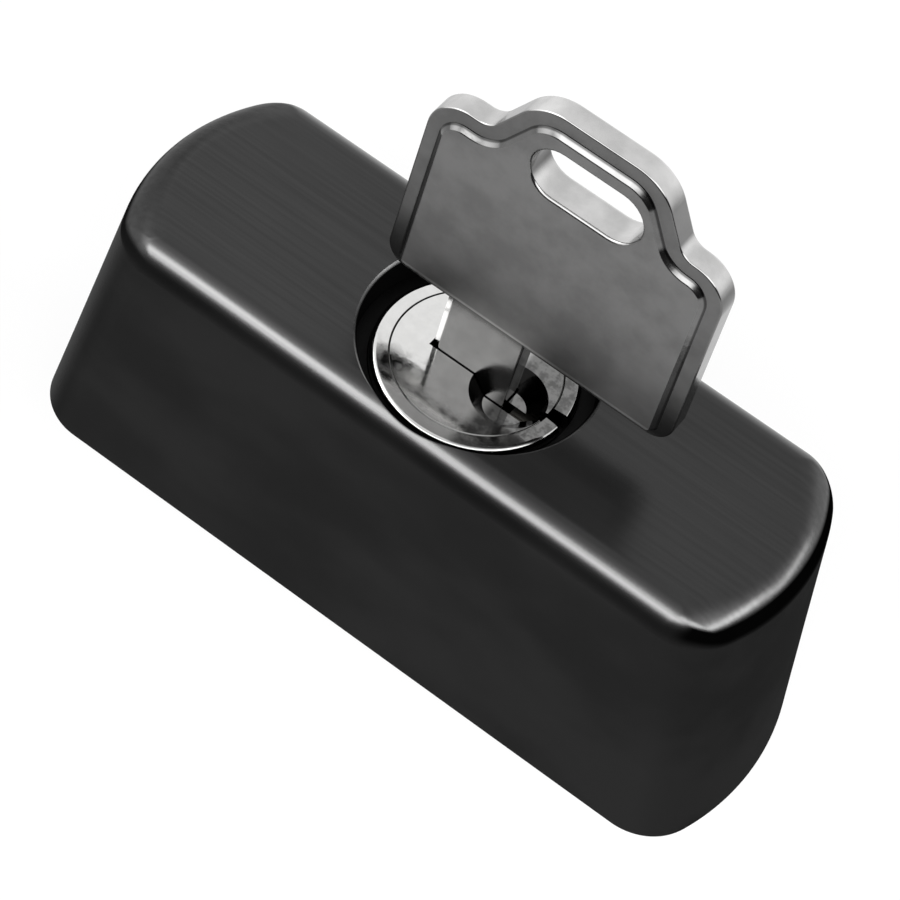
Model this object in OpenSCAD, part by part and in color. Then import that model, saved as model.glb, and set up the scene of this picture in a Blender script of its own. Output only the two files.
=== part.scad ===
// Surface-mounted push-in lock for sliding doors, shown pushed in with its key in the plug.
// The case stands on the door at z = 0, +Z points out of the door and +X lies along the case.

/* [Case] */
// Height of the case above the door
case_h = 25.4; // [24:0.1:32]
// Length of the case at its top
case_top_l = 57; // [52:0.5:70]
// Length of the case at its base
case_base_l = 64.4; // [60:0.5:78]
// Wall beside the mouth, at each side of the case's top
side_wall = 1.1; // [0.8:0.1:4]
// How much wider the case is at its base than at its top
side_draft = 1.2; // [0.4:0.1:3]
// How far each end bows out at the top
end_bow_top = 3.4; // [2:0.1:5]
// How far each end bows out at the base
end_bow_base = 2.8; // [2:0.1:5]
// Radius of the upright corners
corner_r = 5; // [3:0.1:7]
// Radius of the rounded edge round the top
edge_r = 2.5; // [1:0.1:3]
// Radius that the upright corners narrow to within that edge
top_corner_r = 0.5; // [0.3:0.1:2]
// How far in from the sides they have narrowed to it
corner_depth = 1.35; // [1.35:0.05:2.5]
// Wall of the hollow ends
wall = 1.8; // [1.2:0.1:2.4]
// Thickness over the hollow ends
roof = 3.2; // [2.8:0.1:4]
// Wall round the tapped holes of the fixing posts
post_wall = 1.7; // [1.4:0.1:2]
// Width of the rib between each post and the middle block
rib_w = 2.4; // [1.6:0.1:3]
// Wall outside the holes of the base plate's screws
screw_wall = 1.6; // [1.2:0.1:1.8]

/* [Mouth] */
// Wall of the bush, which is the gap between the mouth and the barrel
bush_wall = 1.2; // [0.9:0.05:1.4]
// Chamfer round the mouth
mouth_chamfer = 0.35; // [0.1:0.05:0.5]
// How far the face lies below the case's top
recess = 1.8; // [1:0.1:2.4]
// How far the bush lies below the face
bush_drop = 0.9; // [0.4:0.1:2]
// Length of the bush
bush_l = 2.8; // [2:0.1:2.9]

/* [Barrel] */
// Radius of the barrel
barrel_r = 8; // [7.6:0.05:8.2]
// Length of the barrel
barrel_l = 17.6; // [17:0.1:18.4]
// Thickness of the barrel's floor under the latch
barrel_floor = 1.6; // [1.4:0.1:2]
// Chamfer round the barrel's face
barrel_chamfer = 0.5; // [0.2:0.05:0.8]
// Travel of the barrel from pushed in to sprung out
travel = 10; // [6:0.5:11]
// Width of the guide pin, which is also the width of its slot
guide_pin_d = 2; // [1.5:0.1:2.4]
// Depth of the guide slot in the barrel
guide_slot_depth = 0.8; // [0.6:0.05:0.9]
// Gap between the guide pin and the bush above it
guide_pin_gap = 0.6; // [0.4:0.1:1]
// Depth of the grooves that the wafers spring into
wafer_groove_depth = 0.7; // [0.6:0.05:0.8]
// How far those grooves run on past the first and the last wafer
wafer_groove_end = 1; // [0.6:0.1:1.2]
// Outer radius of the return spring
return_spring_r = 6.4; // [5.6:0.1:7]
// Gap between the return spring and the bolt
return_spring_gap = 0.5; // [0.3:0.1:1]

/* [Plug] */
// Wall of the barrel round the plug
barrel_wall = 1.4; // [1.3:0.05:1.6]
// Chamfer round the plug's face
plug_chamfer = 0.1; // [0.05:0.05:0.4]
// Left end of the keyway, from the lock's axis
keyway_x = 3.6; // [3.5:0.05:3.8]
// Width of the open slit between the blade and the plug's edge
slit_w = 0.9; // [0.6:0.1:1.2]
// Width of the index notch at the rim of the barrel's face
notch_w = 1.5; // [1:0.1:2]
// Depth of the index notch
notch_depth = 2.4; // [0.4:0.1:2.6]
// Radius of the countersink round the keyway
entry_r = 3; // [2:0.1:3.1]
// Radius of that countersink at its bottom
entry_floor_r = 1.66; // [1:0.02:2]
// Depth of that countersink
entry_depth = 1.5; // [0.4:0.1:1.8]
// Place of that countersink along the case
entry_x = 3.4; // [2:0.1:3.4]
// Place of that countersink across the case
entry_y = -0.8; // [-1.5:0.05:0]
// Distance of the cam pin from the plug's axis
cam_r = 1.1; // [0.9:0.05:1.2]
// Diameter of the cam pin
cam_pin_d = 1.4; // [1.2:0.1:1.6]
// Depth of the hole for the cam pin
cam_hole = 1.7; // [1:0.1:1.8]
// Diameter of the pin that keeps the plug in
retaining_pin_d = 1; // [0.8:0.1:1.1]
// Height of that pin above the plug's lower end
retaining_rise = 0.9; // [0.8:0.1:1]
// Depth of the plug's groove for that pin
retaining_depth = 0.9; // [0.6:0.1:1]

/* [Wafers] */
// Distance from the face to the first wafer
wafer_first = 2.9; // [2.6:0.1:3]
// Distance from the last wafer to the blade's tip
wafer_last = 1.1; // [0.9:0.1:1.5]
// Thickness of a wafer
wafer_t = 0.8; // [0.7:0.05:0.9]
// How far each end of a wafer lies inside the plug's wall
wafer_setback = 0.6; // [0.5:0.05:0.8]
// Width of a wafer
wafer_w = 4.4; // [4.2:0.1:4.6]
// How far a wafer springs out when the key has gone
wafer_throw = 0.5; // [0.3:0.05:0.6]
// Length of the ear that a wafer's spring pushes
ear_l = 1.2; // [1:0.1:1.4]
// How far the ear stands out beside the wafer
ear_w = 0.85; // [0.8:0.05:0.95]
// Length of a wafer's spring
wafer_spring_l = 2.4; // [2:0.1:2.6]
// Diameter of a wafer's spring
wafer_spring_d = 0.7; // [0.5:0.05:0.75]

/* [Latch and bolt] */
// Thickness of the latch
latch_t = 1.6; // [1.2:0.1:1.8]
// Width of the latch
latch_w = 5.6; // [5:0.1:6]
// Length of the latch behind the lock's axis
latch_tail = 3.4; // [3:0.1:3.8]
// How far the drawn-in latch lies behind the barrel's wall
latch_setback = 0.3; // [0.1:0.05:0.5]
// Radius of the bolt
bolt_r = 4; // [3:0.1:4.5]
// How far the pushed-in bolt stands out below the door's face
bolt_out = 9.5; // [6:0.5:12]
// Chamfer at the bolt's end
bolt_chamfer = 0.8; // [0.3:0.1:1.5]
// How much narrower the bolt's neck inside the case is
neck_step = 0.4; // [0.2:0.1:0.6]
// Radius of the bolt screw's thread
bolt_screw_r = 1.5; // [1.2:0.1:1.5]
// Length of the bolt screw with its head
bolt_screw_l = 6.5; // [5:0.5:8]

/* [Base] */
// Thickness of the base plate
base_t = 1.5; // [1:0.1:1.8]
// Distance between the two fixing holes
fixing_spacing = 38; // [37.5:0.5:42]
// Radius of the tapped fixing holes
fixing_r = 1.65; // [1.5:0.05:2]
// Depth of the tapped fixing holes
fixing_depth = 14; // [8:0.5:18]
// Distance between the base plate's own screws
plate_screw_spacing = 24; // [23.5:0.5:25]
// Radius of the base plate screws' thread
plate_screw_r = 1.25; // [1:0.05:1.3]
// Length of the base plate screws
plate_screw_l = 6; // [4:0.5:7]

/* [Key] */
// Width of the blade
blade_w = 6.8; // [6:0.1:6.9]
// Thickness of the blade
blade_t = 2; // [1.8:0.1:2.2]
// How far the blade's tip stays above the plug's lower end
tip_clear = 2.5; // [2.3:0.1:2.7]
// Width of the bow
bow_w = 24.8; // [24:0.1:30]
// Thickness of the bow at its rim
rim_t = 1.9; // [1.6:0.1:2.4]
// How far each face of the bow stands out from the rim
panel_rise = 0.45; // [0.2:0.05:0.8]
// How far those faces lie in from the rim's edge
panel_inset = 1.55; // [0.9:0.05:1.55]
// Height of the bow at its shoulders
bow_h = 17.5; // [16:0.1:22]
// How far each side of the bow leans in at the shoulder
bow_taper = 0.25; // [0:0.05:0.6]
// Radius of the bow's shoulders
shoulder_r = 3; // [1.8:0.1:3.2]
// Flat between the right shoulder and the raised middle
shoulder_flat = 0.05; // [0.05:0.05:0.5]
// Radius of the bow's lower corners
lower_r = 1.8; // [1.6:0.1:2.4]
// Height of the raised middle above the shoulders
hump_h = 4.9; // [4:0.1:5.1]
// Width of the raised middle at its top
hump_w = 5.5; // [4:0.1:6]
// Steepness of the sides of the raised middle
hump_angle = 59; // [58:1:64]
// How far the raised middle lies from the bow's middle
hump_offset = 0.25; // [0:0.05:0.5]
// Gap between the face and the bow
bow_gap = 5.7; // [4:0.1:9]
// How far the bow's middle lies from the blade's middle
bow_offset = 3.4; // [0:0.05:4]
// Length of the slot for the key ring
ring_slot_l = 9; // [8:0.1:10]
// Height of the slot for the key ring
ring_slot_h = 4.3; // [4.2:0.1:5]
// How far the slot's middle lies from the bow's middle
ring_slot_x = 0.55; // [0:0.05:1]
// Height of the slot's middle above the bow's lower edge
ring_slot_z = 17.6; // [14:0.1:17.8]
// Size of the middle cut in the blade
cut_depth = 0.9; // [0.4:0.1:1.2]
// Width of the slope at each side of the blade's tip
tip_w = 2.2; // [1:0.1:3]
// Height of the slopes at the blade's tip
tip_h = 1.4; // [0.5:0.1:1.6]

/* [Clearances] */
// Radial gap of parts that slide or turn in each other
running = 0.05; // [0.02:0.01:0.08]
// Gap beside flat sliding parts
side_gap = 0.1; // [0.05:0.01:0.15]
// Radial gap round screws and seated pins
seat_gap = 0.02; // [0.01:0.01:0.04]
// Gap round a countersunk head
head_gap = 0.1; // [0.05:0.01:0.15]
// Radial gap round a screw's thread in a plain hole
free_hole_gap = 0.1; // [0.05:0.01:0.2]
// Gap between the end of a screw, pin or blade and the bottom of its hole
end_gap = 0.3; // [0.2:0.05:0.4]
// Gap round the latch's nose in the case's pockets
pocket_gap = 0.25; // [0.15:0.05:0.35]
// Gap at each side of the cam pin in the latch
cam_gap = 0.15; // [0.05:0.01:0.2]
// Gap at each side of the blade in a wafer's window
window_gap = 0.15; // [0.05:0.01:0.2]
// How far pins and screw heads lie below the surface round them
sink = 0.1; // [0.05:0.01:0.2]

/* [Hidden] */

$fn = 64;
cut = 0.2;
reach = 1;
slice = 0.01;

case_black = [0.07, 0.07, 0.075];
nickel = [0.80, 0.80, 0.79];
key_grey = [0.55, 0.55, 0.54];
steel = [0.62, 0.63, 0.65];
brass = [0.80, 0.66, 0.36];
black_acetal = [0.03, 0.03, 0.03];

mouth_r = barrel_r + bush_wall;
case_top_w = 2 * (mouth_r + side_wall);
case_base_w = case_top_w + side_draft;
plug_r = barrel_r - barrel_wall;
face_z = case_h - recess;
barrel_bottom = face_z - barrel_l;
floor_z = barrel_bottom + barrel_floor;
chamber_top = floor_z + latch_t + 2 * side_gap;
plug_bottom = chamber_top + side_gap;
blade_l = face_z - plug_bottom - tip_clear;
barrel_bore_r = plug_r + running;
case_bore_r = barrel_r + running;
bush_bottom = face_z - bush_drop - bush_l;
guide_pin_z = bush_bottom - guide_pin_gap - guide_pin_d / 2;
block_x = plate_screw_spacing / 2 + plate_screw_r + screw_wall;
post_r = fixing_r + post_wall;
latch_z = floor_z + side_gap;
latch_travel = sqrt(2) * cam_r;
latch_nose = barrel_r - latch_setback;
cam_y = cam_r / sqrt(2);
retaining_z = plug_bottom + retaining_rise;
retaining_groove_r = plug_r - retaining_depth;
wafer_count = 5;
wafer_pitch = (blade_l - wafer_first - wafer_last) / (wafer_count - 1);
wafer_l = 2 * (plug_r - wafer_setback);
last_wafer_z = face_z - wafer_first - (wafer_count - 1) * wafer_pitch;
wafer_slot_w = wafer_w + 2 * side_gap;
wafer_slot_t = wafer_t + side_gap;
keyway_bottom = face_z - blade_l - end_gap;
keyway_t = blade_t + 2 * side_gap;
bow_bottom = face_z + bow_gap;
blade_x = -keyway_x + side_gap;
bow_x = blade_x + blade_w / 2 + bow_offset;
crest_share = 0.7;
cut_scale = [1, 1.3, 0.8, 1.2, 0.9];
head_ratio = 1.9;

// The case's outline with straight sides, bowed ends and round corners: one half and its mirror image.
function plan(length, width, bow, r) =
    let (
        end_r = (width * width / 4 + bow * bow) / (2 * bow),
        end_x = length / 2 - end_r,
        corner_y = width / 2 - r,
        corner_x = end_x + sqrt(pow(end_r - r, 2) - corner_y * corner_y),
        turn = atan2(corner_y, corner_x - end_x),
        half = concat(
            [for (i = [0 : 8]) let (a = -90 + (90 - turn) * i / 8)
                [corner_x + r * cos(a), -corner_y + r * sin(a)]],
            [for (i = [1 : 11]) let (a = -turn + 2 * turn * i / 12)
                [end_x + end_r * cos(a), end_r * sin(a)]],
            [for (i = [0 : 8]) let (a = turn + (90 - turn) * i / 8)
                [corner_x + r * cos(a), corner_y + r * sin(a)]])
    )
    concat(half, [for (p = half) [-p[0], -p[1]]]);

function between(low, high, z) = low + (high - low) * z / case_h;

// One thin slice of the case at height z, drawn in by inset all round, with corners of radius r.
module case_slice(z, inset, r) {
    translate([0, 0, z])
        linear_extrude(slice)
            polygon(plan(between(case_base_l, case_top_l, z) - 2 * inset,
                between(case_base_w, case_top_w, z) - 2 * inset,
                between(end_bow_base, end_bow_top, z),
                r));
}

module case_solid() {
    narrowing = (corner_r - top_corner_r) / corner_depth;
    hull() {
        case_slice(0, 0, corner_r);
        for (i = [0 : 6])
            let (a = 90 * i / 6, inset = edge_r * (1 - cos(a)))
                case_slice(case_h - slice - edge_r * (1 - sin(a)), inset,
                    max(top_corner_r, corner_r - narrowing * inset));
    }
}

// A round hole that opens downwards at height z.
module hole_down(r, depth, z = 0) {
    translate([0, 0, z - cut])
        cylinder(r = r, h = depth + cut);
}

// The countersink of a screw with thread radius r, widest at z = 0 and clear of the head by gap.
module countersink(r, gap) {
    head_r = r * head_ratio + gap;
    cylinder(r1 = head_r, r2 = r, h = head_r - r);
    translate([0, 0, -cut])
        cylinder(r = head_r, h = cut + slice);
}

module at_ends(spacing) {
    for (side = [-1, 1])
        translate([side * spacing / 2, 0, 0])
            children();
}

// The two hollow ends of the case, with the fixing posts left standing.
module end_hollows() {
    difference() {
        hull() {
            case_slice(-slice, wall, corner_r - wall);
            case_slice(case_h - roof, wall, corner_r - wall);
        }
        translate([-block_x, -case_base_w, -1])
            cube([2 * block_x, 2 * case_base_w, case_h + 2]);
        at_ends(fixing_spacing)
            cylinder(r = post_r, h = case_h);
        translate([-fixing_spacing / 2, -rib_w / 2, 0])
            cube([fixing_spacing, rib_w, case_h]);
    }
}

// The base plate's outline, drawn in from the case's inside by gap all round.
module plate_outline(gap) {
    polygon(plan(between(case_base_l, case_top_l, base_t) - 2 * wall - 2 * gap,
        between(case_base_w, case_top_w, base_t) - 2 * wall - 2 * gap,
        between(end_bow_base, end_bow_top, base_t),
        corner_r - wall - gap));
}

// The recess for the base plate, with the fixing posts left standing down to the door.
module plate_recess() {
    difference() {
        translate([0, 0, -cut])
            linear_extrude(base_t + cut)
                plate_outline(0);
        at_ends(fixing_spacing)
            hole_down(post_r, base_t + cut, -slice);
    }
}

// A pocket in the case's bore that takes the latch's nose, for the barrel raised by lift.
module latch_pocket(lift) {
    translate([0, -latch_w / 2 - pocket_gap, latch_z - pocket_gap + lift])
        cube([latch_nose + latch_travel + pocket_gap, latch_w + 2 * pocket_gap,
            latch_t + 2 * pocket_gap]);
}

module housing() {
    color(case_black)
        difference() {
            case_solid();
            end_hollows();
            plate_recess();
            translate([0, 0, -cut])
                cylinder(r = case_bore_r, h = case_h);
            translate([0, 0, bush_bottom])
                cylinder(r = mouth_r, h = case_h);
            translate([0, 0, case_h - mouth_chamfer])
                cylinder(r1 = mouth_r, r2 = mouth_r + edge_r, h = edge_r);
            latch_pocket(0);
            latch_pocket(travel);
            at_ends(fixing_spacing)
                hole_down(fixing_r, fixing_depth);
            at_ends(plate_screw_spacing)
                hole_down(plate_screw_r + seat_gap, plate_screw_l, base_t);
            translate([-block_x - cut, 0, guide_pin_z])
                rotate([0, 90, 0])
                    cylinder(r = guide_pin_d / 2 + seat_gap, h = block_x);
        }
}

module guide_bush() {
    color(black_acetal)
        translate([0, 0, bush_bottom])
            difference() {
                cylinder(r = mouth_r - seat_gap, h = bush_l);
                translate([0, 0, -cut])
                    cylinder(r = case_bore_r, h = bush_l + 2 * cut);
            }
}

module base_plate() {
    color(steel)
        difference() {
            linear_extrude(base_t)
                plate_outline(side_gap);
            translate([0, 0, -cut])
                cylinder(r = bolt_r + running, h = base_t + 2 * cut);
            at_ends(fixing_spacing)
                hole_down(post_r + side_gap, base_t + cut);
            at_ends(plate_screw_spacing) {
                hole_down(plate_screw_r + free_hole_gap, base_t + cut);
                countersink(plate_screw_r, head_gap);
            }
        }
}

// A countersunk screw with a cross recess, its head at z = 0 and its thread pointing up.
module sunk_screw(r, length) {
    head_r = r * head_ratio;
    cross_l = head_r * 1.2;
    cross_w = r * 0.36;
    cross_depth = r * 0.5;
    difference() {
        union() {
            cylinder(r = r, h = length);
            cylinder(r1 = head_r, r2 = r, h = head_r - r);
        }
        for (turn = [0, 90])
            rotate(turn)
                translate([-cross_l / 2, -cross_w / 2, -cut])
                    cube([cross_l, cross_w, cross_depth + cut]);
    }
}

module base_plate_screws() {
    color(steel)
        at_ends(plate_screw_spacing)
            sunk_screw(plate_screw_r, base_t + plate_screw_l - end_gap);
}

module guide_pin() {
    tip_x = barrel_r - guide_slot_depth + side_gap;
    color(steel)
        translate([-block_x + sink, 0, guide_pin_z])
            rotate([0, 90, 0])
                cylinder(r = guide_pin_d / 2, h = block_x - sink - tip_x);
}

module return_spring() {
    color(steel)
        translate([0, 0, base_t])
            difference() {
                cylinder(r = return_spring_r, h = barrel_bottom - base_t);
                translate([0, 0, -cut])
                    cylinder(r = bolt_r + return_spring_gap, h = barrel_bottom + cut);
            }
}

// A round body with a chamfer round its upper end.
module chamfered(r, bottom, top, chamfer) {
    translate([0, 0, bottom])
        cylinder(r = r, h = top - bottom - chamfer);
    translate([0, 0, top - chamfer])
        cylinder(r1 = r, r2 = r - chamfer, h = chamfer);
}

// The chamber that the latch slides in, open on the side of the latch's nose.
module latch_chamber() {
    translate([-latch_tail - end_gap, -latch_w / 2 - side_gap, floor_z])
        cube([barrel_r + latch_tail + reach, latch_w + 2 * side_gap, chamber_top - floor_z + slice]);
}

// The slot that the guide pin runs in, as long as the barrel's travel.
module guide_slot() {
    half = guide_pin_d / 2 + side_gap;
    translate([-barrel_r - reach, -half, guide_pin_z - travel - half])
        cube([reach + guide_slot_depth, 2 * half, travel + 2 * half]);
}

module wafer_groove() {
    translate([0, -wafer_slot_w / 2, last_wafer_z - wafer_groove_end])
        cube([plug_r + wafer_groove_depth, wafer_slot_w,
            (wafer_count - 1) * wafer_pitch + 2 * wafer_groove_end]);
}

module index_notch() {
    translate([0, 0, face_z - notch_depth])
        linear_extrude(notch_depth + cut)
            polygon([[plug_r - reach, -slit_w / 2], [barrel_r + reach, -notch_w / 2],
                [barrel_r + reach, notch_w / 2], [plug_r - reach, slit_w / 2]]);
}

module barrel() {
    color(nickel)
        difference() {
            chamfered(barrel_r, barrel_bottom, face_z, barrel_chamfer);
            translate([0, 0, chamber_top])
                cylinder(r = barrel_bore_r, h = barrel_l);
            latch_chamber();
            guide_slot();
            for (turn = [0, -90])
                rotate(turn)
                    wafer_groove();
            translate([0, 0, barrel_bottom - cut])
                cylinder(r = bolt_screw_r + free_hole_gap, h = barrel_floor + 2 * cut);
            translate([0, 0, floor_z])
                rotate([180, 0, 0])
                    countersink(bolt_screw_r, sink + head_gap);
            index_notch();
            retaining_pin_shape(seat_gap);
        }
}

module bolt() {
    screw_depth = bolt_screw_l - barrel_floor + sink + end_gap;
    color(steel)
        difference() {
            union() {
                rotate([180, 0, 0])
                    chamfered(bolt_r, 0, bolt_out, bolt_chamfer);
                cylinder(r = bolt_r - neck_step, h = barrel_bottom);
            }
            translate([0, 0, barrel_bottom - screw_depth])
                cylinder(r = bolt_screw_r + seat_gap, h = screw_depth + cut);
        }
}

module bolt_screw() {
    color(steel)
        translate([0, 0, floor_z - sink])
            rotate([180, 0, 0])
                sunk_screw(bolt_screw_r, bolt_screw_l);
}

// The plug's retaining pin, or the hole for it when gap is not zero.
module retaining_pin_shape(gap) {
    inner_y = retaining_groove_r + side_gap - gap;
    translate([0, inner_y, retaining_z])
        rotate([-90, 0, 0])
            cylinder(r = retaining_pin_d / 2 + gap, h = barrel_r - sink - inner_y + gap);
}

module plug_retaining_pin() {
    color(steel)
        retaining_pin_shape(0);
}

module latch() {
    slot_r = cam_pin_d / 2 + cam_gap;
    color(brass)
        difference() {
            intersection() {
                translate([-latch_tail, -latch_w / 2, latch_z])
                    cube([latch_nose + latch_tail, latch_w, latch_t]);
                cylinder(r = latch_nose, h = case_h);
            }
            translate([-cam_y - slot_r, cam_y - slot_r, latch_z - cut])
                cube([2 * slot_r, cam_r - cam_y + 2 * slot_r, latch_t + 2 * cut]);
        }
}

// The keyway: the blade's own slot and the narrower slit that runs on to the plug's edge.
module keyway() {
    translate([-keyway_x, -keyway_t / 2, keyway_bottom])
        cube([blade_w + 2 * side_gap, keyway_t, blade_l + reach]);
    translate([0, -keyway_t / 2, keyway_bottom])
        cube([plug_r + reach, slit_w, blade_l + reach]);
}

// The slot across the plug for one wafer, with the pocket of its spring.
module wafer_slot(i) {
    pocket_l = side_gap + wafer_spring_l + ear_l + wafer_throw + side_gap;
    translate([0, 0, face_z - wafer_first - i * wafer_pitch - wafer_slot_t / 2]) {
        translate([-plug_r - reach, -wafer_slot_w / 2, 0])
            cube([2 * plug_r + 2 * reach, wafer_slot_w, wafer_slot_t]);
        translate([-ear_l / 2 - wafer_spring_l - side_gap, 0, 0])
            cube([pocket_l, wafer_w / 2 + ear_w + side_gap, wafer_slot_t]);
    }
}

module retaining_groove() {
    groove_w = retaining_pin_d + 2 * side_gap;
    translate([0, 0, retaining_z - groove_w / 2])
        difference() {
            cylinder(r = plug_r + reach, h = groove_w);
            translate([0, 0, -cut])
                cylinder(r = retaining_groove_r, h = groove_w + 2 * cut);
        }
}

module plug() {
    color(nickel)
        difference() {
            chamfered(plug_r, plug_bottom, face_z, plug_chamfer);
            retaining_groove();
            keyway();
            for (i = [0 : wafer_count - 1])
                wafer_slot(i);
            translate([entry_x, entry_y, face_z - entry_depth])
                cylinder(r1 = entry_floor_r, r2 = entry_r, h = entry_depth + slice);
            translate([-cam_y, cam_y, plug_bottom - cut])
                cylinder(r = cam_pin_d / 2 + seat_gap, h = cam_hole + cut);
        }
}

module cam_pin() {
    color(steel)
        translate([-cam_y, cam_y, latch_z + side_gap])
            cylinder(r = cam_pin_d / 2, h = plug_bottom + cam_hole - end_gap - latch_z - side_gap);
}

// One wafer: a plate with a window for the blade and an ear for its spring.
module wafer(i) {
    window_t = blade_t + 2 * window_gap;
    color(brass)
        translate([0, 0, face_z - wafer_first - i * wafer_pitch - wafer_t / 2])
            difference() {
                union() {
                    translate([-wafer_l / 2, -wafer_w / 2, 0])
                        cube([wafer_l, wafer_w, wafer_t]);
                    translate([-ear_l / 2, 0, 0])
                        cube([ear_l, wafer_w / 2 + ear_w, wafer_t]);
                }
                translate([-keyway_x - wafer_throw, -window_t / 2, -cut])
                    cube([blade_w + 2 * wafer_throw + side_gap, window_t, wafer_t + 2 * cut]);
            }
}

module wafer_springs() {
    color(steel)
        for (i = [0 : wafer_count - 1])
            translate([-ear_l / 2 - wafer_spring_l - side_gap / 2, (wafer_w + ear_w + side_gap) / 2,
                    face_z - wafer_first - i * wafer_pitch])
                rotate([0, 90, 0])
                    cylinder(r = wafer_spring_d / 2, h = wafer_spring_l);
}

function arc(centre, r, from, to) =
    [for (i = [0 : 6]) let (a = from + (to - from) * i / 6) centre + r * [cos(a), sin(a)]];

// The bow's outline, drawn in by inset. Each side of the raised middle is a hollow arc and a round one,
// both turning by hump_angle, with a straight between them.
function bow_outline(inset) =
    let (
        side = bow_w / 2,
        shoulder = side - bow_taper - shoulder_r,
        hump_foot = 2 * (shoulder - shoulder_flat - hump_offset),
        run = (hump_foot - hump_w) / 2,
        both_r = (run * sin(hump_angle) - hump_h * cos(hump_angle)) / (1 - cos(hump_angle)),
        crest_r = both_r * crest_share,
        foot_r = both_r - crest_r,
        top = bow_h + hump_h
    )
    concat(
        arc([-side + lower_r, lower_r], lower_r - inset, 180, 270),
        arc([side - lower_r, lower_r], lower_r - inset, 270, 360),
        arc([shoulder, bow_h - shoulder_r], shoulder_r - inset, 0, 90),
        arc([hump_offset + hump_foot / 2, bow_h + foot_r], foot_r + inset, 270, 270 - hump_angle),
        arc([hump_offset + hump_w / 2, top - crest_r], crest_r - inset, 90 - hump_angle, 90),
        arc([hump_offset - hump_w / 2, top - crest_r], crest_r - inset, 90, 90 + hump_angle),
        arc([hump_offset - hump_foot / 2, bow_h + foot_r], foot_r + inset, 270 + hump_angle, 270),
        arc([-shoulder, bow_h - shoulder_r], shoulder_r - inset, 90, 180));

// The bow as one solid between rings of its outline: the rim at full size, both faces drawn in and bevelled.
module bow_solid() {
    rim_y = rim_t / 2;
    face_y = rim_y + panel_rise;
    foot = panel_inset - panel_rise;
    rings = [[panel_inset, -face_y], [foot, -rim_y], [0, -rim_y],
        [0, rim_y], [foot, rim_y], [panel_inset, face_y]];
    n = len(bow_outline(0));
    last = len(rings) - 1;
    points = [for (ring = rings) for (p = bow_outline(ring[0])) [p[0], ring[1], p[1]]];
    sides = [for (k = [0 : last - 1]) for (i = [0 : n - 1])
        let (j = (i + 1) % n)
            [k * n + i, k * n + j, (k + 1) * n + j, (k + 1) * n + i]];
    front = [for (i = [0 : n - 1]) n - 1 - i];
    back = [for (i = [0 : n - 1]) last * n + i];
    polyhedron(points, concat([front, back], sides), convexity = 4);
}

module blade() {
    tip_z = face_z - blade_l;
    root_z = bow_bottom + 2 * panel_inset;
    translate([blade_x, blade_t / 2, 0])
        rotate([90, 0, 0])
            linear_extrude(blade_t)
                polygon([[0, root_z], [0, tip_z + tip_h], [tip_w, tip_z],
                    [blade_w - tip_w, tip_z], [blade_w, tip_z + tip_h], [blade_w, root_z]]);
}

module ring_slot() {
    straight = ring_slot_l - ring_slot_h;
    depth = rim_t + 2 * panel_rise + 2 * reach;
    translate([bow_x + ring_slot_x, depth / 2, bow_bottom + ring_slot_z])
        rotate([90, 0, 0]) {
            at_ends(straight)
                cylinder(r = ring_slot_h / 2, h = depth);
            translate([-straight / 2, -ring_slot_h / 2, 0])
                cube([straight, ring_slot_h, depth]);
        }
}

// The cuts in the blade's edge, one beside each wafer.
module blade_cuts() {
    for (i = [0 : wafer_count - 1])
        translate([blade_x + blade_w, 0, face_z - wafer_first - i * wafer_pitch])
            rotate([90, 45, 0])
                cube([cut_depth * cut_scale[i], cut_depth * cut_scale[i], 2 * blade_t], center = true);
}

module key() {
    color(key_grey)
        difference() {
            union() {
                translate([bow_x, 0, bow_bottom])
                    bow_solid();
                blade();
            }
            ring_slot();
            blade_cuts();
        }
}

housing();
guide_bush();
base_plate();
base_plate_screws();
guide_pin();
return_spring();
barrel();
bolt();
bolt_screw();
plug_retaining_pin();
latch();
plug();
cam_pin();
wafer_springs();
wafer(0);  // wafer_1
wafer(1);  // wafer_2
wafer(2);  // wafer_3
wafer(3);  // wafer_4
wafer(4);  // wafer_5
key();
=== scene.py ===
import bpy
import bmesh
from math import atan2, cos, pi, radians, sin, sqrt
from mathutils import Matrix, Vector


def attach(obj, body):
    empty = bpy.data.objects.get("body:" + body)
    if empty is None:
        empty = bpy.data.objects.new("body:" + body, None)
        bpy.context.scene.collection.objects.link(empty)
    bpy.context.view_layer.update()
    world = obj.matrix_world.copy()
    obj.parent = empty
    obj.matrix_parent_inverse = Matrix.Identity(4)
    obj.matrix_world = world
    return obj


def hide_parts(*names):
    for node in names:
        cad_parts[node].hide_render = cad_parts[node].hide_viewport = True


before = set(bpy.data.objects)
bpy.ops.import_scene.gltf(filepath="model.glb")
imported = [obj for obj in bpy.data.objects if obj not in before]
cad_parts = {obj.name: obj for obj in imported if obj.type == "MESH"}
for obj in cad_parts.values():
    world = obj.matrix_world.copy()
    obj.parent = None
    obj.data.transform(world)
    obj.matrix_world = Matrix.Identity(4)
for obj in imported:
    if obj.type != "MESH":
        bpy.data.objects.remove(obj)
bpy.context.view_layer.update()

mm = 0.001  # sizes are in millimetres here, and Blender's in metres
print("frame loaded")


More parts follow.
